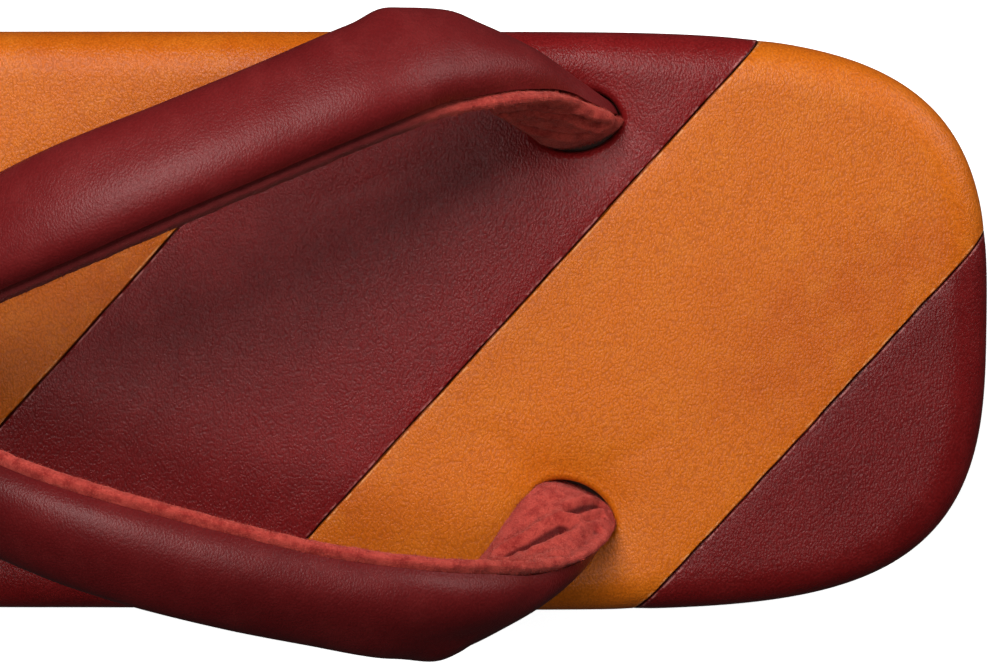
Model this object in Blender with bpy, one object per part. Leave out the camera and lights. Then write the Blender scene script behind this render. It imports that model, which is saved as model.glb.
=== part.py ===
# Setta: a flat thong sandal with a padded leather footbed of slanting strips, two padded straps
# that meet over the toes, a toe loop and a rubber sole.
# Toe toward -Y, heel toward +Y, +Z up, floor at z = 0, origin under the middle of the footprint.
import math

import bmesh
import bpy
import numpy as np
from mathutils.geometry import delaunay_2d_cdt

MM = 0.001

# Footbed seen from above: straight sides and two rounded-off ends
LENGTH = 265 * MM
HALF_WIDTH = 51.2 * MM
HEEL_REACH = 110 * MM
HEEL_ACROSS = 3.05
HEEL_ALONG = 5.4
TOE_REACH = 112 * MM
TOE_ACROSS = 2.7
TOE_ALONG = 4.3

# Heights above the floor
HEEL_STACK = 27 * MM
FORE_STACK = 24.5 * MM
TOE_SPRING = 5.5 * MM
WAIST_RELIEF = 2 * MM
PAD_THICK = 11.5 * MM

# Footbed's rolled edge, crown and the hollows pulled in by the straps
EDGE_ROLL = 8 * MM
EDGE_DROP = 7.5 * MM
CROWN = 0.8 * MM
HOLLOW_DEPTH = 3 * MM
HOLLOW_REACH = 8.5 * MM

# Leather
SKIN = 1.3 * MM
SEAM_TURN = math.radians(42.2)

# Sole
SOLE_INSET = 1.2 * MM
SOLE_TAPER = 0.6 * MM
SOLE_CHAMFER = 2.2 * MM

# Straps
STRAP_RISE = 46 * MM
STRAP_WIDTH = 21.5 * MM
STRAP_THICK = 9 * MM
STRAP_WALL = 1.4 * MM

# Toe loop
STEM_WIDTH = 9 * MM
STEM_DEPTH = 8 * MM
LOOP_WALL = 2 * MM
STEM_SQUARE = 0.7
LOOP_LENGTH = 13.5 * MM
LOOP_SETBACK = 3.6 * MM
LOOP_FLARE = 5 * MM
STEM_LEAN = 6 * MM
POCKET_DEPTH = 5.5 * MM

# Clearances between neighbours
GAP = 0.3 * MM
HOLE_GAP = 0.4 * MM
# Points closer together than this are one point
WELD = 0.004 * MM

# How finely the forms are divided
OUTLINE_POINTS = 64
ROLL_STEPS = 4
BED_SPACING = 14 * MM
STRAP_STATIONS = 27
CROWN_POINTS = 11
STEM_POINTS = 16

# Along the length from the heel end, as shares of LENGTH
BED_HEEL_END = 0.32
BED_FORE_START = 0.62
BED_SPRING_START = 0.77
WAIST_START = 0.29
WAIST_END = 0.48
# Seams between the strips, measured square to them from the middle, as shares of LENGTH
SEAMS = (0.3264, 0.1308, -0.0696, -0.2657)
STRIP_NAMES = ("strip_heel_corner", "strip_heel", "strip_waist", "strip_ball", "strip_toe")

# Strap routes from the back hole to the front. Columns: distance from the heel end / LENGTH,
# sideways / HALF_WIDTH, height above the footbed / STRAP_RISE, width / STRAP_WIDTH,
# thickness / STRAP_THICK, how far the leather face turns outward from straight up, and how far
# that turn swings round toward the toe, both in degrees.
INNER_STRAP = (
    (0.271, 0.640, -0.20, 0.61, 0.80, 122, 30),
    (0.275, 0.640, -0.02, 0.70, 0.84, 114, 24),
    (0.295, 0.722, 0.20, 0.86, 0.90, 95, 8),
    (0.324, 0.818, 0.44, 0.97, 1.00, 72, -9),
    (0.351, 0.852, 0.66, 1.04, 1.00, 50, -16),
    (0.383, 0.832, 0.81, 1.03, 1.00, 43, -10),
    (0.437, 0.776, 0.90, 1.00, 1.00, 42, -2),
    (0.512, 0.678, 0.99, 0.98, 1.00, 37, 0),
    (0.588, 0.561, 1.00, 0.98, 1.00, 38, 0),
    (0.663, 0.430, 0.82, 0.94, 1.00, 34, 0),
    (0.727, 0.287, 0.53, 0.80, 0.94, 29, 0),
    (0.780, 0.125, 0.29, 0.56, 0.82, 22, 0),
    (0.806, 0.068, 0.18, 0.40, 0.74, 17, 0),
)
OUTER_STRAP = (
    (0.266, 0.684, -0.20, 0.60, 0.80, 110, 20),
    (0.272, 0.694, -0.02, 0.68, 0.84, 106, 12),
    (0.299, 0.788, 0.17, 0.83, 0.90, 91, 5),
    (0.332, 0.890, 0.42, 0.97, 1.00, 66, -4),
    (0.370, 0.922, 0.65, 1.03, 1.00, 46, -8),
    (0.402, 0.872, 0.81, 1.02, 1.00, 43, -6),
    (0.454, 0.760, 0.90, 1.01, 1.00, 43, -2),
    (0.519, 0.622, 0.99, 1.02, 1.00, 42, 0),
    (0.588, 0.474, 1.00, 1.01, 1.00, 35, 0),
    (0.663, 0.292, 0.82, 0.95, 1.00, 32, 0),
    (0.727, 0.145, 0.53, 0.80, 0.94, 27, 0),
    (0.780, 0.015, 0.29, 0.56, 0.82, 21, 0),
    (0.806, -0.010, 0.18, 0.40, 0.74, 16, 0),
)
INNER_SIDE = 1
OUTER_SIDE = -1
# Crown and lining of a strap's cross-section, as shares of its width and thickness
CROWN_HALF = 0.46
CROWN_HEIGHT = 0.72
LINING_HALF = 0.50
LINING_DEPTH = 0.32
CROWN_SQUARE = 0.82

HEEL_Y = LENGTH / 2


# The footbed's form

def end_fullness(distance, reach, across, along):
    """Half-width near a rounded end, as a share of the full half-width."""
    depth = np.clip((reach - distance) / reach, 0, 1)
    return (1 - depth ** along) ** (1 / across)


def half_width(y):
    heel = end_fullness(HEEL_Y - y, HEEL_REACH, HEEL_ACROSS, HEEL_ALONG)
    toe = end_fullness(y + HEEL_Y, TOE_REACH, TOE_ACROSS, TOE_ALONG)
    return HALF_WIDTH * heel * toe


def outline(inset):
    """Points round the footprint, evenly spaced from the heel's middle, mirrored left and right."""
    share = np.linspace(0, 1, 4001)
    eased = share ** 4 / (share ** 4 + (1 - share) ** 4)
    y = HEEL_Y - LENGTH * eased
    side = np.column_stack([half_width(y), y])
    step = np.hypot(*np.diff(side, axis=0).T)
    run = np.concatenate([[0], np.cumsum(step)])
    at = np.linspace(0, run[-1], OUTLINE_POINTS // 2 + 1)
    right = np.column_stack([np.interp(at, run, side[:, 0]), np.interp(at, run, side[:, 1])])
    left = right[-2:0:-1] * (-1, 1)
    loop = np.vstack([right, left])
    ahead = np.roll(loop, -1, axis=0) - np.roll(loop, 1, axis=0)
    ahead /= np.hypot(*ahead.T)[:, None]
    inward = np.column_stack([ahead[:, 1], -ahead[:, 0]])
    return loop + inward * inset


def ease(share):
    share = np.clip(share, 0, 1)
    return share * share * (3 - 2 * share)


def bed_height(y):
    """Height of the footbed's middle line above the floor, hollows left out."""
    u = (HEEL_Y - y) / LENGTH
    wedge = ease((u - BED_HEEL_END) / (BED_FORE_START - BED_HEEL_END))
    spring = np.clip((u - BED_SPRING_START) / (1 - BED_SPRING_START), 0, None) ** 2
    return HEEL_STACK + (FORE_STACK - HEEL_STACK) * wedge + TOE_SPRING * spring


def underside(y):
    """Height of the sole's underside: flat heel and ball, shallow waist, toe spring."""
    u = (HEEL_Y - y) / LENGTH
    waist = np.sin(np.pi * np.clip((u - WAIST_START) / (WAIST_END - WAIST_START), 0, 1)) ** 2
    spring = np.clip((u - BED_SPRING_START) / (1 - BED_SPRING_START), 0, None) ** 2
    return WAIST_RELIEF * waist + TOE_SPRING * spring


def hollows(x, y, holes):
    depth = 0 * x
    for hole in holes:
        far = np.hypot(x - hole[0], y - hole[1])
        depth = depth + HOLLOW_DEPTH * np.exp(-(far / HOLLOW_REACH) ** 2)
    return depth


def bed_top(x, y, holes):
    return bed_height(y) - CROWN * (x / HALF_WIDTH) ** 2 - hollows(x, y, holes)


def bed_layout(holes):
    """Inner points of the footbed's surface and its triangles, shared by leather and core."""
    edge = outline(EDGE_ROLL)
    inner = []
    rows = int(LENGTH / (BED_SPACING * 0.87)) + 1
    for row in range(-rows, rows + 1):
        y = row * BED_SPACING * 0.87
        if abs(y) >= HEEL_Y - EDGE_ROLL:
            continue
        reach = half_width(y) - EDGE_ROLL - BED_SPACING * 0.45
        across = int(HALF_WIDTH / BED_SPACING) + 1
        for column in range(-across, across + 1):
            x = (column + 0.5 * (row % 2)) * BED_SPACING
            clear = min(np.hypot(x - h[0], y - h[1]) for h in holes)
            if abs(x) <= reach and clear > HOLLOW_REACH * 2.2 and end_room(x, y):
                inner.append((x, y))
    for hole in holes:
        inner.append((hole[0], hole[1]))
        for ring, count in ((0.5, 6), (0.95, 10), (1.4, 12), (1.95, 12)):
            for k in range(count):
                turn = 2 * math.pi * (k + ring) / count
                x = hole[0] + HOLLOW_REACH * ring * math.cos(turn)
                y = hole[1] + HOLLOW_REACH * ring * math.sin(turn)
                if abs(x) < half_width(y) - EDGE_ROLL - HOLLOW_REACH * 0.15:
                    inner.append((x, y))
    points = [tuple(p) for p in edge] + inner
    border = [list(range(OUTLINE_POINTS))]
    verts, _, faces, _, _, _ = delaunay_2d_cdt(points, [], border, 1, 1e-9)
    flat = np.array([tuple(v) for v in verts])
    triangles = []
    for face in faces:
        a, b, c = (flat[i] for i in face)
        turn = (b[0] - a[0]) * (c[1] - a[1]) - (b[1] - a[1]) * (c[0] - a[0])
        triangles.append(tuple(face) if turn > 0 else tuple(reversed(face)))
    return flat, triangles


def end_room(x, y):
    """True where a point lies well inside the rolled edge at the rounded ends."""
    nearest = np.hypot(*(outline(EDGE_ROLL) - (x, y)).T).min()
    return nearest > BED_SPACING * 0.45


def bed_shell(depth, flat, holes):
    """The footbed's surface moved inward by a depth: side, rolled edge, then the inner points."""
    rings = []
    base = outline(depth)
    bottom = bed_height(base[:, 1]) - PAD_THICK
    rings.append(np.column_stack([base, bottom]))
    for k in range(ROLL_STEPS + 1):
        turn = 0.5 * math.pi * k / ROLL_STEPS
        inset = EDGE_ROLL - (EDGE_ROLL - depth) * math.cos(turn) ** 0.9
        drop = depth + (EDGE_DROP - depth) * (1 - math.sin(turn) ** 0.9)
        ring = outline(inset)
        x, y = ring.T
        rings.append(np.column_stack([ring, bed_top(x, y, holes) - drop]))
    x, y = flat[OUTLINE_POINTS:].T
    inner = np.column_stack([x, y, bed_top(x, y, holes) - depth])
    return np.vstack(rings + [inner])


def bed_faces(triangles):
    """Faces that go with bed_shell: bands up the side and over the roll, then the inner part."""
    faces = []
    count = OUTLINE_POINTS
    for band in range(ROLL_STEPS + 1):
        low = band * count
        high = low + count
        for k in range(count):
            after = (k + 1) % count
            faces.append((low + after, low + k, high + k, high + after))
    shift = (ROLL_STEPS + 1) * count
    faces += [tuple(i + shift for i in t) for t in triangles]
    return faces


def cross_strips(start, upward):
    """Flat faces from side to side between mirrored points of a loop that begins at start."""
    count = OUTLINE_POINTS
    half = count // 2
    faces = []
    for k in range(half):
        right = (start + k, start + k + 1)
        left = (start + (count - k) % count, start + count - k - 1)
        face = [right[0], right[1], left[1], left[0]]
        face = list(dict.fromkeys(face))
        faces.append(tuple(reversed(face)) if upward else tuple(face))
    return faces


# Blender objects

def make(name, verts, faces):
    mesh = bpy.data.meshes.new(name)
    mesh.from_pydata([tuple(map(float, v)) for v in verts], [], faces)
    work = bmesh.new()
    work.from_mesh(mesh)
    bmesh.ops.recalc_face_normals(work, faces=work.faces)
    bmesh.ops.triangulate(work, faces=work.faces)
    work.to_mesh(mesh)
    work.free()
    thing = bpy.data.objects.new(name, mesh)
    bpy.context.scene.collection.objects.link(thing)
    return thing


def copy_of(thing, name):
    twin = thing.copy()
    twin.data = thing.data.copy()
    twin.name = name
    bpy.context.scene.collection.objects.link(twin)
    return twin


def combine(thing, other, operation):
    """Boolean of one solid with another, kept in the first one's mesh."""
    step = thing.modifiers.new("step", 'BOOLEAN')
    step.operation = operation
    step.solver = 'EXACT'
    step.object = other
    graph = bpy.context.evaluated_depsgraph_get()
    result = bpy.data.meshes.new_from_object(thing.evaluated_get(graph))
    thing.modifiers.remove(step)
    old = thing.data
    thing.data = result
    bpy.data.meshes.remove(old)


def discard(*things):
    for thing in things:
        bpy.data.objects.remove(thing)


def finish(thing, colour, roughness):
    """Cleans the mesh, shades it and gives it its own material."""
    work = bmesh.new()
    work.from_mesh(thing.data)
    bmesh.ops.remove_doubles(work, verts=work.verts, dist=WELD)
    bmesh.ops.dissolve_degenerate(work, edges=work.edges, dist=WELD)
    stray = [edge for edge in work.edges if not edge.link_faces]
    bmesh.ops.delete(work, geom=stray, context='EDGES')
    work.to_mesh(thing.data)
    work.free()
    thing.data.name = thing.name
    thing.data.shade_smooth()
    thing.data.set_sharp_from_angle(angle=math.radians(40))
    surface = bpy.data.materials.new(thing.name)
    surface.use_nodes = True
    shader = surface.node_tree.nodes["Principled BSDF"]
    shader.inputs["Base Color"].default_value = (*colour, 1)
    shader.inputs["Roughness"].default_value = roughness
    shader.inputs["Metallic"].default_value = 0
    thing.data.materials.clear()
    thing.data.materials.append(surface)


def loft(name, sections):
    """A closed solid through rings of points, all of one count, with flat ends."""
    count = len(sections[0])
    verts = [p for ring in sections for p in ring]
    faces = []
    for s in range(len(sections) - 1):
        for k in range(count):
            after = (k + 1) % count
            faces.append((s * count + k, s * count + after,
                          (s + 1) * count + after, (s + 1) * count + k))
    faces.append(tuple(range(count)))
    faces.append(tuple(range((len(sections) - 1) * count, len(sections) * count)))
    return make(name, verts, faces)


# Straps

def unit(v):
    return v / np.linalg.norm(v)


def strap_stations(table, side):
    """Smooth stations along one strap: centre, direction, outward and across axes, and sizes."""
    rows = np.array(table, float)
    y = HEEL_Y - rows[:, 0] * LENGTH
    keys = np.column_stack([
        side * rows[:, 1] * HALF_WIDTH, y, bed_height(y) + rows[:, 2] * STRAP_RISE,
        rows[:, 3] * STRAP_WIDTH, rows[:, 4] * STRAP_THICK, rows[:, 5], rows[:, 6]])
    run = np.concatenate([[0], np.cumsum(np.linalg.norm(np.diff(keys[:, :3], axis=0), axis=1))])
    slope = np.diff(keys, axis=0) / np.diff(run)[:, None]
    tangent = np.vstack([slope[:1], np.zeros((len(keys) - 2, 7)), slope[-1:]])
    for k in range(1, len(keys) - 1):
        before = run[k] - run[k - 1]
        after = run[k + 1] - run[k]
        tangent[k] = (slope[k] * before + slope[k - 1] * after) / (before + after)
    stations = []
    for at in np.linspace(0, run[-1], STRAP_STATIONS):
        k = min(int(np.searchsorted(run, at, side='right')) - 1, len(run) - 2)
        span = run[k + 1] - run[k]
        s = (at - run[k]) / span
        value = ((2 * s ** 3 - 3 * s ** 2 + 1) * keys[k] + (s ** 3 - 2 * s ** 2 + s) * span * tangent[k]
                 + (3 * s ** 2 - 2 * s ** 3) * keys[k + 1] + (s ** 3 - s ** 2) * span * tangent[k + 1])
        stations.append(value)
    stations = np.array(stations)
    ahead = np.gradient(stations[:, :3], axis=0)
    frames = []
    for value, direction in zip(stations, ahead):
        direction = unit(direction)
        roll = math.radians(value[5])
        swing = math.radians(value[6])
        face = np.array([side * math.sin(roll) * math.cos(swing), -math.sin(roll) * math.sin(swing),
                         math.cos(roll)])
        face = unit(face - face.dot(direction) * direction)
        across = np.cross(direction, face) * side
        frames.append((value[:3], direction, face, across, value[3], value[4]))
    return frames


def place(frame, points):
    centre, _, face, across, _, _ = frame
    return [centre + across * a + face * b for a, b in points]


def crown_points(half, height):
    """The leather's arch across the strap, from one edge over the top to the other."""
    points = []
    for k in range(CROWN_POINTS):
        turn = math.pi * k / (CROWN_POINTS - 1)
        c = math.cos(turn)
        a = half * math.copysign(abs(c) ** CROWN_SQUARE, c)
        b = height * max(math.sin(turn), 0) ** CROWN_SQUARE
        points.append((a, b))
    return points


def crown_section(frame):
    half = CROWN_HALF * frame[4]
    flat_side = [(-half * 0.5, 0), (half * 0.5, 0)]
    return place(frame, crown_points(half, CROWN_HEIGHT * frame[5]) + flat_side)


def channel_section(frame):
    """The hollow under the leather, taken past its lower edge so that it opens downward."""
    half = CROWN_HALF * frame[4] - STRAP_WALL
    arch = crown_points(half, CROWN_HEIGHT * frame[5] - STRAP_WALL)
    return place(frame, arch + [(-half, -GAP - STRAP_WALL), (half, -GAP - STRAP_WALL)])


def lining_points(frame, grow):
    half = LINING_HALF * frame[4] + grow
    top = -GAP + grow
    low = -LINING_DEPTH * frame[5] - grow
    rim = 0.3 * (top - low)
    round_in = 0.10 * frame[4]
    return [(half - round_in * 0.4, top), (half, top - rim), (half - round_in * 0.15, low + rim),
            (half - round_in, low), (0, low - 0.12 * rim), (round_in - half, low),
            (round_in * 0.15 - half, low + rim), (-half, top - rim), (round_in * 0.4 - half, top), (0, top)]


def lining_section(frame):
    return place(frame, lining_points(frame, 0))


def lining_clear_section(frame):
    return place(frame, lining_points(frame, GAP * 0.75))


def whole_section(frame):
    """Leather and lining together, grown by the clearance of the holes they pass through."""
    half = LINING_HALF * frame[4] + HOLE_GAP
    arch = crown_points(half, CROWN_HEIGHT * frame[5] + HOLE_GAP)
    low = -LINING_DEPTH * frame[5] - HOLE_GAP * 1.3
    return place(frame, arch + [(-half, low * 0.7), (-half * 0.86, low), (half * 0.86, low), (half, low * 0.7)])


def stretched(frames, back, front):
    """The same stations with both ends drawn out along the strap."""
    first, last = frames[0], frames[-1]
    start = (first[0] - first[1] * back, *first[1:])
    end = (last[0] + last[1] * front, *last[1:])
    return [start] + frames[1:-1] + [end]


# Build

for thing in list(bpy.data.objects):
    bpy.data.objects.remove(thing)

inner = strap_stations(INNER_STRAP, INNER_SIDE)
outer = strap_stations(OUTER_STRAP, OUTER_SIDE)

# The toe loop closes round the straps' tips and stands on a stem behind them
loop_ahead = inner[-1][1] + outer[-1][1]
loop_ahead = unit(loop_ahead * (0, 1, 1))
loop_up = np.array([0, loop_ahead[2], -loop_ahead[1]])
loop_centre = (inner[-1][0] + outer[-1][0]) / 2 - loop_ahead * LOOP_SETBACK
loop_apart = abs(inner[-1][0][0] - outer[-1][0][0])
stem_xy = (loop_centre[0], loop_centre[1] + STEM_LEAN)
# Where the three holes open in the footbed: the straps' second stations lie at its surface
HOLES = ((inner[1][0][0], inner[1][0][1]), (outer[1][0][0], outer[1][0][1]), stem_xy)

# Leather straps: one shell, both sides joined where they meet over the toes. Each side is first
# cleared of the other side's lining, and both hollows are taken out of the joined form at once.
leather = loft("strap_leather", [crown_section(f) for f in inner])
other = loft("cutter", [crown_section(f) for f in outer])
for arch, across_from in ((leather, outer), (other, inner)):
    cutter = loft("cutter", [lining_clear_section(f) for f in stretched(across_from, 0, STRAP_WALL)])
    combine(arch, cutter, 'DIFFERENCE')
    discard(cutter)
combine(leather, other, 'UNION')
discard(other)
hollow = loft("cutter", [channel_section(f) for f in stretched(inner, STRAP_WALL, STRAP_WALL)])
other = loft("cutter", [channel_section(f) for f in stretched(outer, STRAP_WALL, STRAP_WALL)])
combine(hollow, other, 'UNION')
combine(leather, hollow, 'DIFFERENCE')
discard(hollow, other)

# Velvet lining under both straps
lining = loft("strap_lining", [lining_section(f) for f in inner])
other = loft("cutter", [lining_section(f) for f in outer])
combine(lining, other, 'UNION')
discard(other)

# What the straps need to pass freely
passage = loft("passage", [whole_section(f) for f in stretched(inner, HOLE_GAP, HOLE_GAP)])
other = loft("cutter", [whole_section(f) for f in stretched(outer, HOLE_GAP, HOLE_GAP)])
combine(passage, other, 'UNION')
discard(other)


def round_section(centre, across, along, half_across, half_along):
    """A ring of points between an ellipse and a rectangle."""
    points = []
    for k in range(STEM_POINTS):
        turn = 2 * math.pi * k / STEM_POINTS
        c, s = math.cos(turn), math.sin(turn)
        a = half_across * math.copysign(abs(c) ** STEM_SQUARE, c)
        b = half_along * math.copysign(abs(s) ** STEM_SQUARE, s)
        points.append(centre + across * a + along * b)
    return points


# Toe loop: a stem out of the front hole that opens into a band round the straps' front end
loop_thick = inner[-1][5]
loop_half = loop_apart / 2 + LINING_HALF * inner[-1][4] + HOLE_GAP + LOOP_WALL * 1.6
side_axis = np.array([1.0, 0, 0])
back_axis = np.array([0, 1.0, 0])
loop_low = LINING_DEPTH * loop_thick
loop_high = CROWN_HEIGHT * loop_thick + HOLE_GAP + LOOP_WALL
stem_floor = float(bed_top(np.array(stem_xy[0]), np.array(stem_xy[1]), (stem_xy,))) - POCKET_DEPTH
stem_foot = np.array([stem_xy[0], stem_xy[1], stem_floor])
stem_neck = np.array([stem_xy[0], stem_xy[1], stem_floor + POCKET_DEPTH + HOLLOW_DEPTH])
loop_profile = (
    (loop_centre - loop_up * (loop_low + LOOP_FLARE), STEM_WIDTH * 0.54, STEM_DEPTH / 2),
    (loop_centre - loop_up * (loop_low + LOOP_FLARE * 0.4), loop_half * 0.94, LOOP_LENGTH * 0.5),
    (loop_centre - loop_up * loop_low * 0.5, loop_half, LOOP_LENGTH * 0.5),
    (loop_centre + loop_up * loop_high * 0.35, loop_half, LOOP_LENGTH * 0.5),
    (loop_centre + loop_up * loop_high * 0.8, loop_half * 0.82, LOOP_LENGTH * 0.49),
    (loop_centre + loop_up * loop_high, loop_half * 0.5, LOOP_LENGTH * 0.44),
)
sections = [
    round_section(stem_foot, side_axis, back_axis, STEM_WIDTH / 2, STEM_DEPTH / 2),
    round_section(stem_neck, side_axis, back_axis, STEM_WIDTH / 2, STEM_DEPTH / 2),
]
for centre, half_across, half_along in loop_profile:
    sections.append(round_section(centre, side_axis, -loop_ahead, half_across, half_along))
toe_loop = loft("toe_loop", sections)
combine(toe_loop, passage, 'DIFFERENCE')

# Pockets in the footbed for the strap ends and the stem
stem_hole = loft("stem_hole", [
    round_section(stem_foot - (0, 0, HOLE_GAP), side_axis, back_axis,
                  STEM_WIDTH / 2 + HOLE_GAP, STEM_DEPTH / 2 + HOLE_GAP),
    round_section(stem_neck, side_axis, back_axis,
                  STEM_WIDTH / 2 + HOLE_GAP, STEM_DEPTH / 2 + HOLE_GAP)])

flat, triangles = bed_layout(HOLES)
faces = bed_faces(triangles)

# Padded core
core = bed_shell(SKIN + GAP, flat, HOLES)
insole = make("insole", core, faces + cross_strips(0, False))
combine(insole, passage, 'DIFFERENCE')
combine(insole, stem_hole, 'DIFFERENCE')

# Leather cover, then cut into its strips along the seams
outside = bed_shell(0, flat, HOLES)
inside = bed_shell(SKIN, flat, HOLES)
cover_faces = list(faces)
cover_faces += [tuple(i + len(outside) for i in reversed(face)) for face in faces]
for k in range(OUTLINE_POINTS):
    after = (k + 1) % OUTLINE_POINTS
    cover_faces.append((k, after, after + len(outside), k + len(outside)))
cover = make("cover", np.vstack([outside, inside]), cover_faces)
combine(cover, passage, 'DIFFERENCE')
combine(cover, stem_hole, 'DIFFERENCE')

seam_normal = np.array([math.sin(SEAM_TURN), math.cos(SEAM_TURN), 0])
seam_along = np.array([math.cos(SEAM_TURN), -math.sin(SEAM_TURN), 0])
bounds = [LENGTH] + [share * LENGTH for share in SEAMS] + [-LENGTH]
BURGUNDY = (0.19, 0.022, 0.022)
ORANGE = (0.62, 0.18, 0.035)
strips = []
for k, name in enumerate(STRIP_NAMES):
    high, low = bounds[k] - GAP / 2, bounds[k + 1] + GAP / 2
    corners = []
    for z in (-HEEL_STACK, 3 * HEEL_STACK):
        for across, way in ((low, -1), (high, -1), (high, 1), (low, 1)):
            corners.append(seam_normal * across + seam_along * way * LENGTH + np.array([0, 0, z]))
    slab = make("slab", corners, [(0, 1, 2, 3), (4, 5, 6, 7), (0, 1, 5, 4), (1, 2, 6, 5),
                                  (2, 3, 7, 6), (3, 0, 4, 7)])
    strip = copy_of(cover, name)
    combine(strip, slab, 'INTERSECT')
    discard(slab)
    strips.append((strip, ORANGE if k % 2 else BURGUNDY))
discard(cover, passage, stem_hole)

# Rubber sole: its top follows the footbed, its side tapers to a chamfered lower edge
sole_verts = []
top = outline(SOLE_INSET)
sole_verts.append(np.column_stack([top, bed_height(top[:, 1]) - PAD_THICK - GAP]))
side = outline(SOLE_INSET + SOLE_TAPER)
sole_verts.append(np.column_stack([side, underside(side[:, 1]) + SOLE_CHAMFER]))
foot = outline(SOLE_INSET + SOLE_TAPER + SOLE_CHAMFER)
sole_verts.append(np.column_stack([foot, underside(foot[:, 1])]))
sole_faces = []
for band in (0, 1):
    low = band * OUTLINE_POINTS
    for k in range(OUTLINE_POINTS):
        after = (k + 1) % OUTLINE_POINTS
        sole_faces.append((low + k, low + after, low + after + OUTLINE_POINTS, low + k + OUTLINE_POINTS))
sole_faces += cross_strips(0, True)
sole_faces += cross_strips(2 * OUTLINE_POINTS, False)
outsole = make("outsole", np.vstack(sole_verts), sole_faces)

finish(outsole, (0.018, 0.016, 0.016), 0.7)
finish(insole, (0.45, 0.38, 0.30), 0.9)
finish(leather, (0.13, 0.018, 0.018), 0.45)
finish(lining, (0.33, 0.07, 0.06), 0.95)
finish(toe_loop, (0.13, 0.018, 0.018), 0.5)
for strip, colour in strips:
    finish(strip, colour, 0.5)
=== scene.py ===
"""A setta sandal: slanting strips of leather over a padded footbed, two padded straps, a rubber sole."""
import math

import bmesh
import bpy
import numpy as np
from mathutils import Matrix, Vector, noise
from mathutils.geometry import delaunay_2d_cdt


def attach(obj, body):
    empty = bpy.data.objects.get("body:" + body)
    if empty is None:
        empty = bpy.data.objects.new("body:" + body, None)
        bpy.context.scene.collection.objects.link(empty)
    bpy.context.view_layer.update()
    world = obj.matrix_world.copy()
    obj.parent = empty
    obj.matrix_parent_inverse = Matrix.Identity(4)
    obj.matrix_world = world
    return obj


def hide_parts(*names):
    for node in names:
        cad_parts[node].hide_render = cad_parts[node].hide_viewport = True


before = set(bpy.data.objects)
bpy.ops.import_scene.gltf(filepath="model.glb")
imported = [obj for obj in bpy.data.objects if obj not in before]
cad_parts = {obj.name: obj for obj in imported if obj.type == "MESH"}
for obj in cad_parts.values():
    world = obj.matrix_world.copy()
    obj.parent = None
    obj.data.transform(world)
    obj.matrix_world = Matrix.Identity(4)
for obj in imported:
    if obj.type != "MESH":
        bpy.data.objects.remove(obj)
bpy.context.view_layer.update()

MM = 0.001

# Outsole
# A moulded rubber sole, black and slightly dusty, cemented under the footbed. Its side tapers to a
# chamfered lower edge, and shallow wavy grooves run from side to side under the heel and the ball.
LENGTH = 265 * MM
HALF_WIDTH = 51.2 * MM
HEEL_REACH = 110 * MM
HEEL_ACROSS = 3.05
HEEL_ALONG = 5.4
TOE_REACH = 112 * MM
TOE_ACROSS = 2.7
TOE_ALONG = 4.3
HEEL_STACK = 27 * MM
FORE_STACK = 24.5 * MM
TOE_SPRING = 5.5 * MM
WAIST_RELIEF = 2 * MM
PAD_THICK = 11.5 * MM
GAP = 0.3 * MM
SOLE_INSET = 1.2 * MM
SOLE_TAPER = 0.6 * MM
SOLE_CHAMFER = 2.2 * MM
TREAD_PITCH = 5.2 * MM
TREAD_DEPTH = 0.9 * MM
TREAD_WAVE = 9 * MM
TREAD_SWAY = 1.6 * MM
SOLE_SPACING = 1.3 * MM
RIM_POINTS = 520
HEEL_Y = LENGTH / 2
# Distances from the heel end / LENGTH
WAIST_START = 0.29
WAIST_RUN = 0.19
STEP_START = 0.32
STEP_RUN = 0.3
SPRING_START = 0.77
SPRING_RUN = 0.23


def half_width(y):
    """Half of the footprint's width at a place along it."""
    heel = np.clip((HEEL_REACH - HEEL_Y + y) / HEEL_REACH, 0, 1)
    toe = np.clip((TOE_REACH - HEEL_Y - y) / TOE_REACH, 0, 1)
    round_heel = (1 - heel ** HEEL_ALONG) ** (1 / HEEL_ACROSS)
    round_toe = (1 - toe ** TOE_ALONG) ** (1 / TOE_ACROSS)
    return HALF_WIDTH * round_heel * round_toe


def outward(loop):
    """Unit normals of a closed loop of points, pointing out of it."""
    ahead = np.roll(loop, -1, axis=0) - np.roll(loop, 1, axis=0)
    ahead = ahead / np.hypot(*ahead.T)[:, None]
    turned = np.column_stack([-ahead[:, 1], ahead[:, 0]])
    after = np.roll(loop, -1, axis=0)
    clockwise = np.sum(loop[:, 0] * after[:, 1] - after[:, 0] * loop[:, 1]) < 0
    return turned if clockwise else -turned


def outline(inset, count=RIM_POINTS):
    """The footprint's edge moved inward, evenly spaced from the heel's middle, mirrored."""
    share = np.linspace(0, 1, 8001)
    eased = share ** 4 / (share ** 4 + (1 - share) ** 4)
    y = HEEL_Y - LENGTH * eased
    side = np.column_stack([half_width(y), y])
    run = np.concatenate([[0], np.cumsum(np.hypot(*np.diff(side, axis=0).T))])
    at = np.linspace(0, run[-1], count // 2 + 1)
    right = np.column_stack([np.interp(at, run, side[:, 0]), np.interp(at, run, side[:, 1])])
    loop = np.vstack([right, right[-2:0:-1] * (-1, 1)])
    return loop - outward(loop) * inset


def ease(share):
    """0 below 0, 1 above 1, smooth between."""
    share = np.clip(share, 0, 1)
    return share * share * (3 - 2 * share)


def toe_spring(y):
    """Rise of the sole and the footbed toward the toe."""
    along = (HEEL_Y - y) / LENGTH
    return TOE_SPRING * np.clip((along - SPRING_START) / SPRING_RUN, 0, None) ** 2


def bed_height(y):
    """Height of the footbed's middle line above the floor."""
    along = (HEEL_Y - y) / LENGTH
    return HEEL_STACK + (FORE_STACK - HEEL_STACK) * ease((along - STEP_START) / STEP_RUN) + toe_spring(y)


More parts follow.
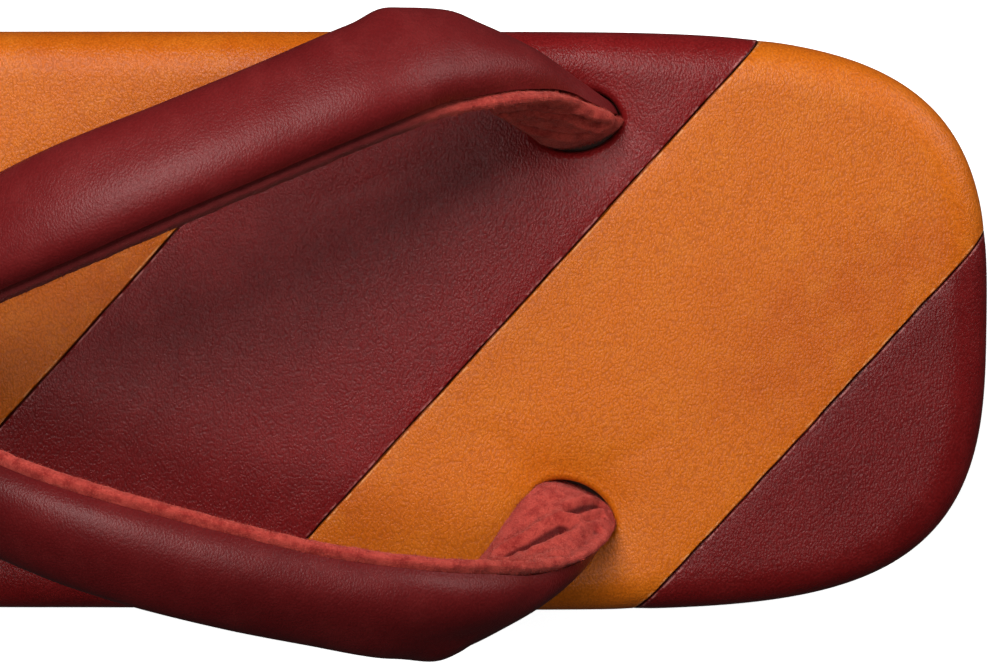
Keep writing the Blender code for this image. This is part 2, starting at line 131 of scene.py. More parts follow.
def underside(y):
    """Height of the sole's lower face, with its shallow waist before the heel."""
    along = (HEEL_Y - y) / LENGTH
    waist = np.sin(np.pi * np.clip((along - WAIST_START) / WAIST_RUN, 0, 1)) ** 2
    return WAIST_RELIEF * waist + toe_spring(y)


def field(loops, spacing):
    """Points over the area inside the first loop and outside the others, and their triangles."""
    clear = spacing * 0.45
    row_gap = spacing * 0.866
    edge = loops[0]
    half = len(edge) // 2
    down = edge[:half + 1][::-1]
    rows = int(LENGTH / row_gap) + 2
    grid = []
    for row in range(-rows, rows + 1):
        y = row * row_gap
        if not down[0, 1] + spacing * 0.4 < y < down[-1, 1] - spacing * 0.4:
            continue
        reach = np.interp(y, down[:, 1], down[:, 0]) - clear
        across = np.arange(-int(HALF_WIDTH / spacing) - 1, int(HALF_WIDTH / spacing) + 2)
        x = (across + 0.5 * (row % 2)) * spacing
        x = x[np.abs(x) < reach]
        grid.append(np.column_stack([x, np.full(len(x), y)]))
    grid = np.vstack(grid)
    near_edge = np.abs(grid[:, 1]) > HEEL_Y * 0.72
    gap = np.full(len(grid), 1.0)
    gap[near_edge] = np.min(np.hypot(grid[near_edge, None, 0] - edge[None, :, 0],
                                     grid[near_edge, None, 1] - edge[None, :, 1]), axis=1)
    keep = gap > clear
    for hole in loops[1:]:
        middle = hole.mean(axis=0)
        away = np.hypot(*(hole - middle).T)
        turn = np.arctan2(hole[:, 1] - middle[1], hole[:, 0] - middle[0])
        order = np.argsort(turn)
        ring = np.interp(np.arctan2(grid[:, 1] - middle[1], grid[:, 0] - middle[0]),
                         turn[order], away[order], period=2 * np.pi)
        keep &= np.hypot(*(grid - middle).T) > ring + clear
    points = np.vstack(loops + [grid[keep]])
    borders = []
    start = 0
    for loop in loops:
        borders.append(list(range(start, start + len(loop))))
        start += len(loop)
    lines = [(ring[k], ring[(k + 1) % len(ring)]) for ring in borders for k in range(len(ring))]
    flat, _, faces, _, _, _ = delaunay_2d_cdt([Vector(p) for p in points], lines, [], 1, 1e-9)
    flat = np.array([tuple(v) for v in flat])
    triangles = np.array([tuple(f) for f in faces])
    for border in borders[1:]:
        inside = np.isin(triangles, border).all(axis=1)
        triangles = triangles[~inside]
    a, b, c = (flat[triangles[:, corner]] for corner in range(3))
    turn = (b[:, 0] - a[:, 0]) * (c[:, 1] - a[:, 1]) - (b[:, 1] - a[:, 1]) * (c[:, 0] - a[:, 0])
    triangles[turn < 0] = triangles[turn < 0][:, ::-1]
    return flat, triangles


def band(low, high, count):
    """Quads between two rings of points that start at these indices."""
    k = np.arange(count)
    after = (k + 1) % count
    return [tuple(quad) for quad in np.column_stack([low + k, low + after, high + after, high + k])]


def placed(name, data):
    """A new object in the scene, at the origin."""
    made = bpy.data.objects.new(name, data)
    bpy.context.scene.collection.objects.link(made)
    return made


def piece(name, verts, faces, sharp=40):
    """A mesh object at the origin, its faces turned outward and smooth but for true corners."""
    mesh = bpy.data.meshes.new(name)
    mesh.from_pydata([tuple(map(float, v)) for v in verts], [], [tuple(map(int, f)) for f in faces])
    work = bmesh.new()
    work.from_mesh(mesh)
    bmesh.ops.recalc_face_normals(work, faces=work.faces)
    work.to_mesh(mesh)
    work.free()
    made = placed(name, mesh)
    smooth(made, sharp)
    return made


def smooth(made, sharp=40):
    """Smooth shading but for edges sharper than this many degrees."""
    made.data.shade_smooth()
    made.data.set_sharp_from_angle(angle=math.radians(sharp))


class Value:
    """An output in a material's nodes. Arithmetic on it adds Math nodes."""

    def __init__(self, finish, socket):
        self.finish = finish
        self.socket = socket

    def join(self, operation, a, b):
        return self.finish.node("ShaderNodeMath", {"operation": operation}, {0: a, 1: b})

    def __add__(self, other):
        return self.join('ADD', self, other)

    def __radd__(self, other):
        return self.join('ADD', other, self)

    def __sub__(self, other):
        return self.join('SUBTRACT', self, other)

    def __rsub__(self, other):
        return self.join('SUBTRACT', other, self)

    def __mul__(self, other):
        return self.join('MULTIPLY', self, other)


class Finish:
    """A material with one Principled shader, built node by node."""

    def __init__(self, name, roughness=0.5):
        self.material = bpy.data.materials.new(name)
        self.material.use_nodes = True
        self.tree = self.material.node_tree
        self.shader = self.tree.nodes["Principled BSDF"]
        self.set("Roughness", roughness)
        self.place = self.node("ShaderNodeTexCoord", output="Object")

    def node(self, kind, settings=None, inputs=None, output=0):
        made = self.tree.nodes.new(kind)
        for key, value in (settings or {}).items():
            setattr(made, key, value)
        for key, value in (inputs or {}).items():
            self.feed(made.inputs[key], value)
        return Value(self, made.outputs[output])

    def feed(self, socket, value):
        if isinstance(value, Value):
            self.tree.links.new(value.socket, socket)
        elif socket.type == 'RGBA' and len(value) == 3:
            socket.default_value = (*value, 1)
        else:
            socket.default_value = value

    def set(self, name, value):
        self.feed(self.shader.inputs[name], value)

    def noise(self, size, detail=2, rough=0.5):
        """Soft noise from 0 to 1 whose features are about this many metres across."""
        return self.node("ShaderNodeTexNoise", None,
                         {"Vector": self.place, "Scale": 1 / size, "Detail": detail, "Roughness": rough})

    def cells(self, size, place):
        """Distance from the middles of rounded cells about this many metres across."""
        return self.node("ShaderNodeTexVoronoi", {"feature": 'F1'},
                         {"Vector": place, "Scale": 1 / size}, "Distance")

    def warped(self, size, amount, stretch):
        """Object coordinates pushed about by noise, and stretched."""
        push = self.node("ShaderNodeTexNoise", None, {"Vector": self.place, "Scale": 1 / size}, "Color")
        push = self.vector('SUBTRACT', {0: push, 1: (0.5, 0.5, 0.5)})
        push = self.vector('SCALE', {0: push, "Scale": amount})
        moved = self.vector('ADD', {0: self.place, 1: push})
        return self.vector('MULTIPLY', {0: moved, 1: stretch})

    def vector(self, operation, inputs, output=0):
        return self.node("ShaderNodeVectorMath", {"operation": operation}, inputs, output)

    def step(self, value, low, high):
        """0 below low, 1 above high, smooth between."""
        return self.node("ShaderNodeMapRange", {"interpolation_type": 'SMOOTHSTEP'},
                         {"Value": value, "From Min": low, "From Max": high})

    def fade(self, value, low, high, start, end):
        """From start at low to end at high, in a straight line."""
        span = {"Value": value, "From Min": low, "From Max": high, "To Min": start, "To Max": end}
        return self.node("ShaderNodeMapRange", None, span)

    def mix(self, a, b, share):
        return self.node("ShaderNodeMix", {"data_type": 'RGBA'}, {0: share, 6: a, 7: b}, 2)

    def mark(self, name):
        """A number stored on the piece's points."""
        return self.node("ShaderNodeAttribute", {"attribute_name": name}, None, "Fac")

    def bump(self, height, distance, strength=1.0, under=None):
        inputs = {"Height": height, "Distance": distance, "Strength": strength}
        if under is not None:
            inputs["Normal"] = under
        return self.node("ShaderNodeBump", None, inputs, "Normal")


rubber = Finish("sole_rubber", 0.7)
wear = rubber.noise(14 * MM, 4, 0.6)
dust = rubber.noise(0.5 * MM, 3, 0.6)
black = (0.018, 0.017, 0.017)
dusty = (0.05, 0.045, 0.042)
rubber.set("Base Color", rubber.mix(black, dusty, rubber.step(wear, 0.4, 0.75)))
rubber.set("Roughness", rubber.fade(dust, 0.3, 0.7, 0.6, 0.82))
rubber.set("Normal", rubber.bump(dust, 0.05 * MM, 0.5))

sole_low_inset = SOLE_INSET + SOLE_TAPER
flat, triangles = field([outline(sole_low_inset + SOLE_CHAMFER)], SOLE_SPACING)
x, y = flat.T
reach = half_width(y) - sole_low_inset - SOLE_CHAMFER - np.abs(x)
zone = ease((np.abs(y - 8 * MM) - 14 * MM) / (6 * MM)) * ease((HEEL_Y - 9 * MM - np.abs(y)) / (4 * MM))
zone = zone * ease((reach - 3 * MM) / (2 * MM))
wave = TREAD_SWAY * np.sin(2 * np.pi * x / TREAD_WAVE)
groove = ease((np.cos(2 * np.pi * (y + wave) / TREAD_PITCH) - 0.1) / 0.6)
bottom = np.column_stack([flat, underside(y) + TREAD_DEPTH * zone * groove])
sole_rings = []
for inward, up in ((0.8, 0.18), (0.2, 0.82), (0.03, 1.03)):
    ring = outline(sole_low_inset + SOLE_CHAMFER * inward)
    sole_rings.append(np.column_stack([ring, underside(ring[:, 1]) + SOLE_CHAMFER * up]))
for share in (0.12, 0.3, 0.5, 0.7, 0.86, 0.97):
    ring = outline(SOLE_INSET + SOLE_TAPER * (1 - share))
    low = underside(ring[:, 1]) + SOLE_CHAMFER
    high = bed_height(ring[:, 1]) - PAD_THICK - GAP
    sole_rings.append(np.column_stack([ring, low + (high - low) * share]))
for inward, down in ((0.1 * MM, 0.1 * MM), (0.5 * MM, 0), (9 * MM, 0)):
    ring = outline(SOLE_INSET + inward)
    sole_rings.append(np.column_stack([ring, bed_height(ring[:, 1]) - PAD_THICK - GAP - down]))
faces = [tuple(t[::-1]) for t in triangles]
start = len(flat)
faces += band(0, start, RIM_POINTS)
for k in range(len(sole_rings) - 1):
    faces += band(start + k * RIM_POINTS, start + (k + 1) * RIM_POINTS, RIM_POINTS)
last = start + (len(sole_rings) - 1) * RIM_POINTS
for k in range(RIM_POINTS // 2):
    left = (last + (RIM_POINTS - k) % RIM_POINTS, last + RIM_POINTS - k - 1)
    faces.append(tuple(dict.fromkeys((last + k, last + k + 1, left[1], left[0]))))
sole = piece("outsole_rubber", np.vstack([bottom] + sole_rings), faces, 35)
sole.data.materials.append(rubber.material)
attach(sole, "root")
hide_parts("outsole")

# Straps' run
# Each strap comes up steeply out of its hole beside the heel, bends forward over the side of the
# foot and runs down to the toe loop. Its leather face turns outward on the way down to the hole.
STRAP_RISE = 46 * MM
STRAP_WIDTH = 21.5 * MM
STRAP_THICK = 9 * MM
STRAP_WALL = 1.4 * MM
CROWN_HALF = 0.46
CROWN_HEIGHT = 0.72
LINING_HALF = 0.50
LINING_DEPTH = 0.32
CROWN_SQUARE = 0.82
SOFT_RISE = 24 * MM
PINCH = 0.2
PINCH_LOW = 1 * MM
PINCH_TOP = 44 * MM
PINCH_FRONT = 40 * MM
STATIONS = 240
# Distance from the heel end / LENGTH, sideways / HALF_WIDTH, height / STRAP_RISE, width / STRAP_WIDTH,
# thickness / STRAP_THICK, outward turn and swing toward the toe in degrees
INNER_STRAP = (
    (0.271, 0.640, -0.20, 0.61, 0.80, 122, 30),
    (0.275, 0.640, -0.02, 0.70, 0.84, 114, 24),
    (0.295, 0.722, 0.20, 0.86, 0.90, 95, 8),
    (0.324, 0.818, 0.44, 0.97, 1.00, 72, -9),
    (0.351, 0.852, 0.66, 1.04, 1.00, 50, -16),
    (0.383, 0.832, 0.81, 1.03, 1.00, 43, -10),
    (0.437, 0.776, 0.90, 1.00, 1.00, 42, -2),
    (0.512, 0.678, 0.99, 0.98, 1.00, 37, 0),
    (0.588, 0.561, 1.00, 0.98, 1.00, 38, 0),
    (0.663, 0.430, 0.82, 0.94, 1.00, 34, 0),
    (0.727, 0.287, 0.53, 0.80, 0.94, 29, 0),
    (0.780, 0.125, 0.29, 0.56, 0.82, 22, 0),
    (0.806, 0.068, 0.18, 0.40, 0.74, 17, 0),
)
OUTER_STRAP = (
    (0.266, 0.684, -0.20, 0.60, 0.80, 110, 20),
    (0.272, 0.694, -0.02, 0.68, 0.84, 106, 12),
    (0.299, 0.788, 0.17, 0.83, 0.90, 91, 5),
    (0.332, 0.890, 0.42, 0.97, 1.00, 66, -4),
    (0.370, 0.922, 0.65, 1.03, 1.00, 46, -8),
    (0.402, 0.872, 0.81, 1.02, 1.00, 43, -6),
    (0.454, 0.760, 0.90, 1.01, 1.00, 43, -2),
    (0.519, 0.622, 0.99, 1.02, 1.00, 42, 0),
    (0.588, 0.474, 1.00, 1.01, 1.00, 35, 0),
    (0.663, 0.292, 0.82, 0.95, 1.00, 32, 0),
    (0.727, 0.145, 0.53, 0.80, 0.94, 27, 0),
    (0.780, 0.015, 0.29, 0.56, 0.82, 21, 0),
    (0.806, -0.010, 0.18, 0.40, 0.74, 16, 0),
)


def strap_run(table, side):
    """Fine stations along one strap, from its hole to the toe: place, axes, size, softness and pinch."""
    rows = np.array(table, float)
    y = HEEL_Y - rows[:, 0] * LENGTH
    keys = np.column_stack([
        side * rows[:, 1] * HALF_WIDTH, y, bed_height(y) + rows[:, 2] * STRAP_RISE,
        rows[:, 3] * STRAP_WIDTH, rows[:, 4] * STRAP_THICK, rows[:, 5], rows[:, 6]])
    run = np.concatenate([[0], np.cumsum(np.linalg.norm(np.diff(keys[:, :3], axis=0), axis=1))])
    slope = np.diff(keys, axis=0) / np.diff(run)[:, None]
    tangent = np.vstack([slope[:1], np.zeros((len(keys) - 2, 7)), slope[-1:]])
    before = np.diff(run)[:-1, None]
    after = np.diff(run)[1:, None]
    tangent[1:-1] = (slope[1:] * before + slope[:-1] * after) / (before + after)
    at = np.linspace(0, run[-1], STATIONS)
    k = np.clip(np.searchsorted(run, at, side='right') - 1, 0, len(run) - 2)
    span = (run[k + 1] - run[k])[:, None]
    s = (at - run[k])[:, None] / span
    value = ((2 * s ** 3 - 3 * s ** 2 + 1) * keys[k] + (s ** 3 - 2 * s ** 2 + s) * span * tangent[k]
             + (3 * s ** 2 - 2 * s ** 3) * keys[k + 1] + (s ** 3 - s ** 2) * span * tangent[k + 1])
    centre = value[:, :3]
    ahead = np.gradient(centre, axis=0)
    ahead /= np.linalg.norm(ahead, axis=1)[:, None]
    roll, swing = np.radians(value[:, 5]), np.radians(value[:, 6])
    face = np.column_stack([side * np.sin(roll) * np.cos(swing),
                            -np.sin(roll) * np.sin(swing), np.cos(roll)])
    face -= ahead * np.sum(face * ahead, axis=1)[:, None]
    face /= np.linalg.norm(face, axis=1)[:, None]
    across = np.cross(ahead, face) * side
    lift = centre[:, 2] - bed_height(centre[:, 1])
    soft = 1 - ease((lift + 2 * MM) / SOFT_RISE)
    pinched = (centre[:, 1] > PINCH_FRONT) * (side > 0)
    pinch = pinched * ease((lift - PINCH_LOW) / (14 * MM)) * ease((PINCH_TOP - lift) / (12 * MM))
    return {"centre": centre, "ahead": ahead, "face": face, "across": across, "width": value[:, 3],
            "thick": value[:, 4], "soft": soft, "pinch": pinch, "side": side}


def squared(turn, power):
    """A cosine or a sine pushed toward a squarer section by a power under 1."""
    return np.sign(turn) * np.abs(turn) ** power


def arch(strap, half, height, count):
    """Points of a strap's rounded face from one edge over the top to the other, one row a station."""
    turn = np.linspace(0, np.pi, count)
    c, s = np.cos(turn), np.clip(np.sin(turn), 0, None)
    power = (CROWN_SQUARE + (1 - CROWN_SQUARE) * strap["soft"])[:, None]
    a = half[:, None] * squared(c, power)
    b = height[:, None] * s ** power
    return a, b


def under_face(strap, turn, half, deep):
    """Points of the soft underside of a strap, flat along the foot and rounder near the hole."""
    c, s = np.cos(turn), np.sin(turn)
    wide = (0.34 + 0.66 * strap["soft"])[:, None]
    tall = (0.62 + 0.38 * strap["soft"])[:, None]
    full = (1 + 0.9 * strap["soft"])[:, None]
    a = half[:, None] * squared(c, wide)
    b = deep[:, None] * squared(s, tall) * np.where(s < 0, full, 1)
    return a, b


def set_out(strap, a, b):
    """Places section points across and out of each station, narrower where the strap is pinched."""
    a = np.where(a < 0, a * (1 - PINCH * strap["pinch"][:, None]), a)
    return (strap["centre"][:, None, :] + strap["across"][:, None, :] * a[:, :, None]
            + strap["face"][:, None, :] * b[:, :, None])


inner = strap_run(INNER_STRAP, 1)
outer = strap_run(OUTER_STRAP, -1)

# Footbed
# A firm foam pad covered with five slanting strips of smooth calf leather, burgundy and orange by
# turns, seamed edge to edge, rolled over the pad's edge, and drawn down where the straps go in.
EDGE_ROLL = 8 * MM
EDGE_DROP = 7.5 * MM
ROLL_START = 3.4 * MM
ROLL_SQUARE = 0.9
CROWN = 0.8 * MM
HOLLOW_DEPTH = 3 * MM
HOLLOW_REACH = 8.5 * MM
SKIN = 1.3 * MM
SEAM_TURN = math.radians(42.2)
SEAMS = (0.3264 * LENGTH, 0.1308 * LENGTH, -0.0696 * LENGTH, -0.2657 * LENGTH)
SEAM_OPEN = 0.2 * MM
SEAM_LIP = 0.32 * MM
SEAM_TROUGH = 0.16 * MM
SEAM_WANDER = 0.08 * MM
# Extra rows of points beside a seam, distances in mm
SEAM_CUTS = (0.08, 0.18, 0.32, 0.6, 1.0, 1.6, 2.4)
BED_SPACING = 1.15 * MM
ROLL_STEPS = 14
HOLE_POINTS = 96
HOLE_CLEAR = 0.2 * MM
HOLE_LIP = 1.7 * MM
THROAT = 5.5 * MM
LIP_STEPS = 7
FINE_EDGE = outline(0, 4000)
# Toe loop's stem
STEM_WIDTH = 9 * MM
STEM_DEPTH = 8 * MM
STEM_SQUARE = 0.7
LOOP_SETBACK = 3.6 * MM
STEM_LEAN = 6 * MM


def bed_top(x, y):
    """Height of the footbed's upper face, drawn down round each hole."""
    depth = 0
    for hole in holes_at:
        far = np.hypot(x - hole[0], y - hole[1])
        depth = depth + HOLLOW_DEPTH * np.exp(-(far / HOLLOW_REACH) ** 2)
    return bed_height(y) - CROWN * (x / HALF_WIDTH) ** 2 - depth


def edge_inset(points):
    """How far inside the footprint's edge each point lies, up to the width of the rolled edge."""
    inset = np.full(len(points), EDGE_ROLL)
    x, y = points.T
    close = (np.abs(x) > half_width(y) - 12 * MM) | (np.abs(y) > HEEL_Y - 15 * MM)
    near = points[close]
    far = [np.hypot(part[:, None, 0] - FINE_EDGE[None, :, 0],
                    part[:, None, 1] - FINE_EDGE[None, :, 1]).min(axis=1)
           for part in np.array_split(near, max(1, len(near) // 500))]
    inset[close] = np.minimum(np.concatenate(far), EDGE_ROLL)
    return inset


def roll_drop(inset, depth):
    """Drop of the rolled edge at an inset from the footprint's edge, for a skin at this depth."""
    c = np.clip((EDGE_ROLL - inset) / (EDGE_ROLL - depth), 0, 1) ** (1 / ROLL_SQUARE)
    return depth + (EDGE_DROP - depth) * (1 - np.sqrt(1 - c * c) ** ROLL_SQUARE)


def skin(points, depth=0):
    """Places points seen from above on the footbed's surface, or at a depth under it."""
    return np.column_stack([points, bed_top(*points.T) - roll_drop(edge_inset(points), depth)])


def mouth(strap):
    """Where a strap's outside meets the footbed, as a loop seen from above."""
    half = LINING_HALF * strap["width"]
    a, b = arch(strap, half * 0.955, CROWN_HEIGHT * strap["thick"], 60)
    low = under_face(strap, np.linspace(np.pi, 2 * np.pi, 50)[1:-1], half, LINING_DEPTH * strap["thick"])
    points = set_out(strap, np.hstack([a, low[0]]), np.hstack([b, low[1]]))
    loop = []
    for column in range(points.shape[1]):
        line = points[:, column]
        over = line[:, 2] - skin(line[:, :2])[:, 2]
        k = int(np.argmax(over > 0))
        share = over[k - 1] / (over[k - 1] - over[k])
        loop.append((line[k - 1] + (line[k] - line[k - 1]) * share)[:2])
    return even(np.array(loop), HOLE_POINTS)


def even(loop, count):
    """The same closed loop with its points evenly spaced and its kinks eased."""
    for _ in range(6):
        loop = 0.5 * loop + 0.25 * (np.roll(loop, 1, axis=0) + np.roll(loop, -1, axis=0))
    closed = np.vstack([loop, loop[:1]])
    run = np.concatenate([[0], np.cumsum(np.hypot(*np.diff(closed, axis=0).T))])
    at = np.linspace(0, run[-1], count, endpoint=False)
    return np.column_stack([np.interp(at, run, closed[:, 0]), np.interp(at, run, closed[:, 1])])


tips = (inner["centre"][-1] + outer["centre"][-1]) / 2
loop_ahead = (inner["ahead"][-1] + outer["ahead"][-1]) * (0, 1, 1)
loop_ahead = loop_ahead / np.linalg.norm(loop_ahead)
loop_centre = tips - loop_ahead * LOOP_SETBACK
stem_xy = np.array([loop_centre[0], loop_centre[1] + STEM_LEAN])
holes_at = []
for strap in (inner, outer):
    surface = np.argmax(strap["centre"][:, 2] > bed_height(strap["centre"][:, 1]) - 0.02 * STRAP_RISE)
    holes_at.append(strap["centre"][surface, :2])
holes_at.append(stem_xy)
turn = np.linspace(0, 2 * np.pi, HOLE_POINTS, endpoint=False)
stem_loop = stem_xy + np.column_stack([STEM_WIDTH / 2 * squared(np.cos(turn), STEM_SQUARE),
                                       STEM_DEPTH / 2 * squared(np.sin(turn), STEM_SQUARE)])
mouths = [mouth(inner), mouth(outer), even(stem_loop, HOLE_POINTS)]
mouths = [loop + outward(loop) * HOLE_CLEAR for loop in mouths]


def lip(loop, depth, share):
    """A ring of the leather's turn into a hole: how far out from the hole and how far down."""
    out = HOLE_LIP - (HOLE_LIP - depth) * math.sin(share * math.pi / 2)
    down = HOLE_LIP - (HOLE_LIP - depth) * math.cos(share * math.pi / 2)
    top = skin(loop + outward(loop) * HOLE_LIP)[:, 2]
    return np.column_stack([loop + outward(loop) * out, top - down])


bed_edge = outline(ROLL_START)
bed_flat, bed_tri = field([bed_edge] + [loop + outward(loop) * HOLE_LIP for loop in mouths], BED_SPACING)


def bed_shell(depth):
    """The footbed's surface moved inward by a depth: side and rolled edge, the top, the holes' lips."""
    parts = []
    base = outline(depth)
    foot = bed_height(base[:, 1]) - PAD_THICK
    wall = bed_top(*base.T) - EDGE_DROP
    for share in (0, 0.33, 0.67):
        parts.append(np.column_stack([base, foot + (wall - foot) * share]))
    full = math.acos(((EDGE_ROLL - ROLL_START) / (EDGE_ROLL - depth)) ** (1 / ROLL_SQUARE))
    for k in range(ROLL_STEPS):
        turn = full * k / ROLL_STEPS
        inset = EDGE_ROLL - (EDGE_ROLL - depth) * math.cos(turn) ** ROLL_SQUARE
        drop = depth + (EDGE_DROP - depth) * (1 - math.sin(turn) ** ROLL_SQUARE)
        ring = outline(inset)
        parts.append(np.column_stack([ring, bed_top(*ring.T) - drop]))
    parts.append(skin(bed_flat, depth))
    for loop in mouths:
        for step in range(1, LIP_STEPS + 1):
            parts.append(lip(loop, depth, step / LIP_STEPS))
        last = parts[-1]
        for share in (0.4, 1):
            parts.append(last - np.array([0, 0, (THROAT - HOLE_LIP) * share]))
    return np.vstack(parts)


def bed_faces():
    """Quads up the side and over the roll, triangles over the top, quads down into each hole."""
    faces = []
    sides = ROLL_STEPS + 3
    for k in range(sides):
        faces += band(k * RIM_POINTS, (k + 1) * RIM_POINTS, RIM_POINTS)
    shift = sides * RIM_POINTS
    faces += [tuple(t + shift) for t in bed_tri]
    rings = LIP_STEPS + 2
    start = shift + len(bed_flat)
    ends = []
    for k in range(len(mouths)):
        top = shift + RIM_POINTS + k * HOLE_POINTS
        for step in range(rings):
            faces += band(top, start, HOLE_POINTS)
            top = start
            start += HOLE_POINTS
        ends.append(top)
    return faces, ends


shell_faces, throats = bed_faces()
skin_out = bed_shell(0)
skin_in = bed_shell(SKIN)
shift = len(skin_out)
cover_faces = list(shell_faces) + [tuple(i + shift for i in reversed(f)) for f in shell_faces]
cover_faces += band(0, shift, RIM_POINTS)
for top in throats:
    cover_faces += band(top, top + shift, HOLE_POINTS)
cover_verts = np.vstack([skin_out, skin_in])
# Direction square to the seams, seen from above
square = np.array([math.sin(SEAM_TURN), math.cos(SEAM_TURN)])
# Soft creases in the footbed: from and to, seen from above in mm, depth and width in mm
DRAWN_LINES = (
    ((-22.5, 16.0), (-30.0, 42.0), 0.26, 1.9),
    ((-18.0, 19.0), (-25.0, 47.0), 0.2, 2.2),
    ((-30.0, 75.0), (-36.0, 69.0), 0.2, 1.6),
    ((24.0, 66.0), (20.0, 74.0), 0.18, 2.0),
    ((25.0, 52.0), (19.0, 45.0), 0.22, 2.2),
)


def seam_dip(across, seams, outer_skin):
    """How far the leather sinks beside a seam: a soft trough and a rounded lip at the very edge."""
    sink = 0
    for seam in seams:
        away = np.abs(across - seam) - SEAM_OPEN / 2
        sink = sink + SEAM_TROUGH * np.exp(-(np.clip(away, 0, None) / (1.5 * MM)) ** 2)
        near = np.clip(1 - away / SEAM_LIP, 0, 1)
        sink = sink + SEAM_LIP * 0.8 * (1 - np.sqrt(np.clip(1 - near ** 2, 0, 1)))
    return sink * outer_skin


def drawn(x, y):
    """Depth of the long soft creases that the straps' pull leaves in the footbed's leather."""
    depth = 0
    for start, end, deep, width in DRAWN_LINES:
        way = (end[0] - start[0], end[1] - start[1])
        along = ((x / MM - start[0]) * way[0] + (y / MM - start[1]) * way[1]) / (way[0] ** 2 + way[1] ** 2)
        along = min(max(along, 0), 1)
        away = math.hypot(x / MM - start[0] - along * way[0], y / MM - start[1] - along * way[1])
        depth = depth + deep * MM * math.exp(-(away / width) ** 2)
    return depth


def seam_wander(along, across, seams):
    """The small sideways wander of a hand-guided seam."""
    shift = 0
    for k, seam in enumerate(seams):
        wave = np.sin(along / (3.1 * MM) + k) + 0.8 * np.sin(along / (1.3 * MM) + 2 * k)
        wave = wave + np.sin(along / (9 * MM))
        shift = shift + SEAM_WANDER * wave * np.exp(-((across - seam) / (2.5 * MM)) ** 2)
    return shift


def cut(work, at, way, clear=False):
    """Cuts a mesh along a plane and, if asked, clears what lies beyond it."""
    bmesh.ops.bisect_plane(work, geom=work.verts[:] + work.edges[:] + work.faces[:], dist=1e-7,
                           plane_co=at, plane_no=way, clear_outer=clear)


def cut_strip(name, high, low):
    """One strip of the cover between two seams, its cut edges closed and their lips rounded."""
    across = cover_verts[:, :2] @ square
    keep = (across < high + 4 * MM) & (across > low - 4 * MM)
    new_index = np.cumsum(keep) - 1
    faces = [tuple(new_index[i] for i in f) for f in cover_faces if all(keep[i] for i in f)]
    work = bmesh.new()
    mesh = bpy.data.meshes.new(name)
    mesh.from_pydata([tuple(v) for v in cover_verts[keep]], [], [tuple(map(int, f)) for f in faces])
    work.from_mesh(mesh)
    mark = work.verts.layers.float.new("skin")
    top = np.concatenate([np.ones(len(skin_out)), np.zeros(len(skin_in))])[keep]
    for vert, share in zip(work.verts, top):
        vert[mark] = share
    normal = Vector((square[0], square[1], 0))
    real = [seam for seam in (high, low) if seam in SEAMS]
    for seam, way in ((high, -1), (low, 1)):
        if seam not in SEAMS:
            continue
        for step in SEAM_CUTS:
            cut(work, normal * (seam + way * (SEAM_OPEN / 2 + step * MM)), normal)
        cut(work, normal * (seam + way * SEAM_OPEN / 2), normal * -way, clear=True)
        rim = [e for e in work.edges if e.is_boundary]
        bmesh.ops.edgeloop_fill(work, edges=rim)
    for vert in work.verts:
        across = vert.co.x * square[0] + vert.co.y * square[1]
        along = vert.co.x * square[1] - vert.co.y * square[0]
        vert.co.z -= float(seam_dip(across, real, vert[mark]) + drawn(vert.co.x, vert.co.y))
        vert.co += normal * float(seam_wander(along, across, real))
    bmesh.ops.recalc_face_normals(work, faces=work.faces)
    work.to_mesh(mesh)
    work.free()
    made = placed(name, mesh)
    smooth(made, 50)
    return made


def leather(name, tones, roughness, grain=1.0, grain_size=0.44 * MM):
    """Smooth calf leather: a fine pebble with painted shade in its valleys and painted highlights on its
    crests and specks, cloudy dye and a soft polish.
    """
    dark, middle, light = tones
    made = Finish(name, roughness)
    cloud = made.noise(40 * MM, 3, 0.5)
    patch = made.noise(6 * MM, 4, 0.6)
    place = made.warped(1.1 * MM, 0.5 * MM, (0.8, 1.15, 1))
    pebble = 1 - made.cells(grain_size, place)
    fine = made.noise(0.27 * MM, 2, 0.7)
    glint_speck = made.step(made.noise(0.4 * MM, 1, 0.5), 0.6, 0.72)
    tone = made.mix(dark, middle, made.step(cloud, 0.3, 0.55))
    tone = made.mix(tone, light, made.step(patch, 0.4, 0.8) * 0.55)
    relief = pebble * 0.6 + fine * 0.5
    # Colours of the painted highlight on the grain's crests and specks, and of the painted shade in its
    # valleys.
    pale = tuple(min(1, 1.35 * channel + 0.03) for channel in light)
    deep = tuple(0.6 * channel for channel in dark)
    # Valleys darker and crests lighter: partly the grain's own tone, partly painted shade and painted
    # highlight. The specks get a painted glint.
    tone = made.mix(tone, deep, made.fade(relief, 0.40, 0.60, 0.36, 0) * grain)
    tone = made.mix(tone, pale, made.fade(relief, 0.66, 0.9, 0, 0.2) * grain)
    tone = made.mix(tone, pale, glint_speck * 0.1 * grain)
    made.tone = tone
    made.set("Base Color", tone)
    made.set("Roughness", made.fade(relief - glint_speck * 0.25, 0.3, 0.9, roughness + 0.06, roughness - 0.05))
    soft = made.bump(made.noise(4 * MM, 2, 0.5), 0.25 * MM, 0.25)
    made.set("Normal", made.bump(relief, 0.13 * MM * grain, 1.0, soft))
    made.set("Specular IOR Level", 0.27)
    made.set("Specular Tint", (1.0, 0.84, 0.82))
    return made


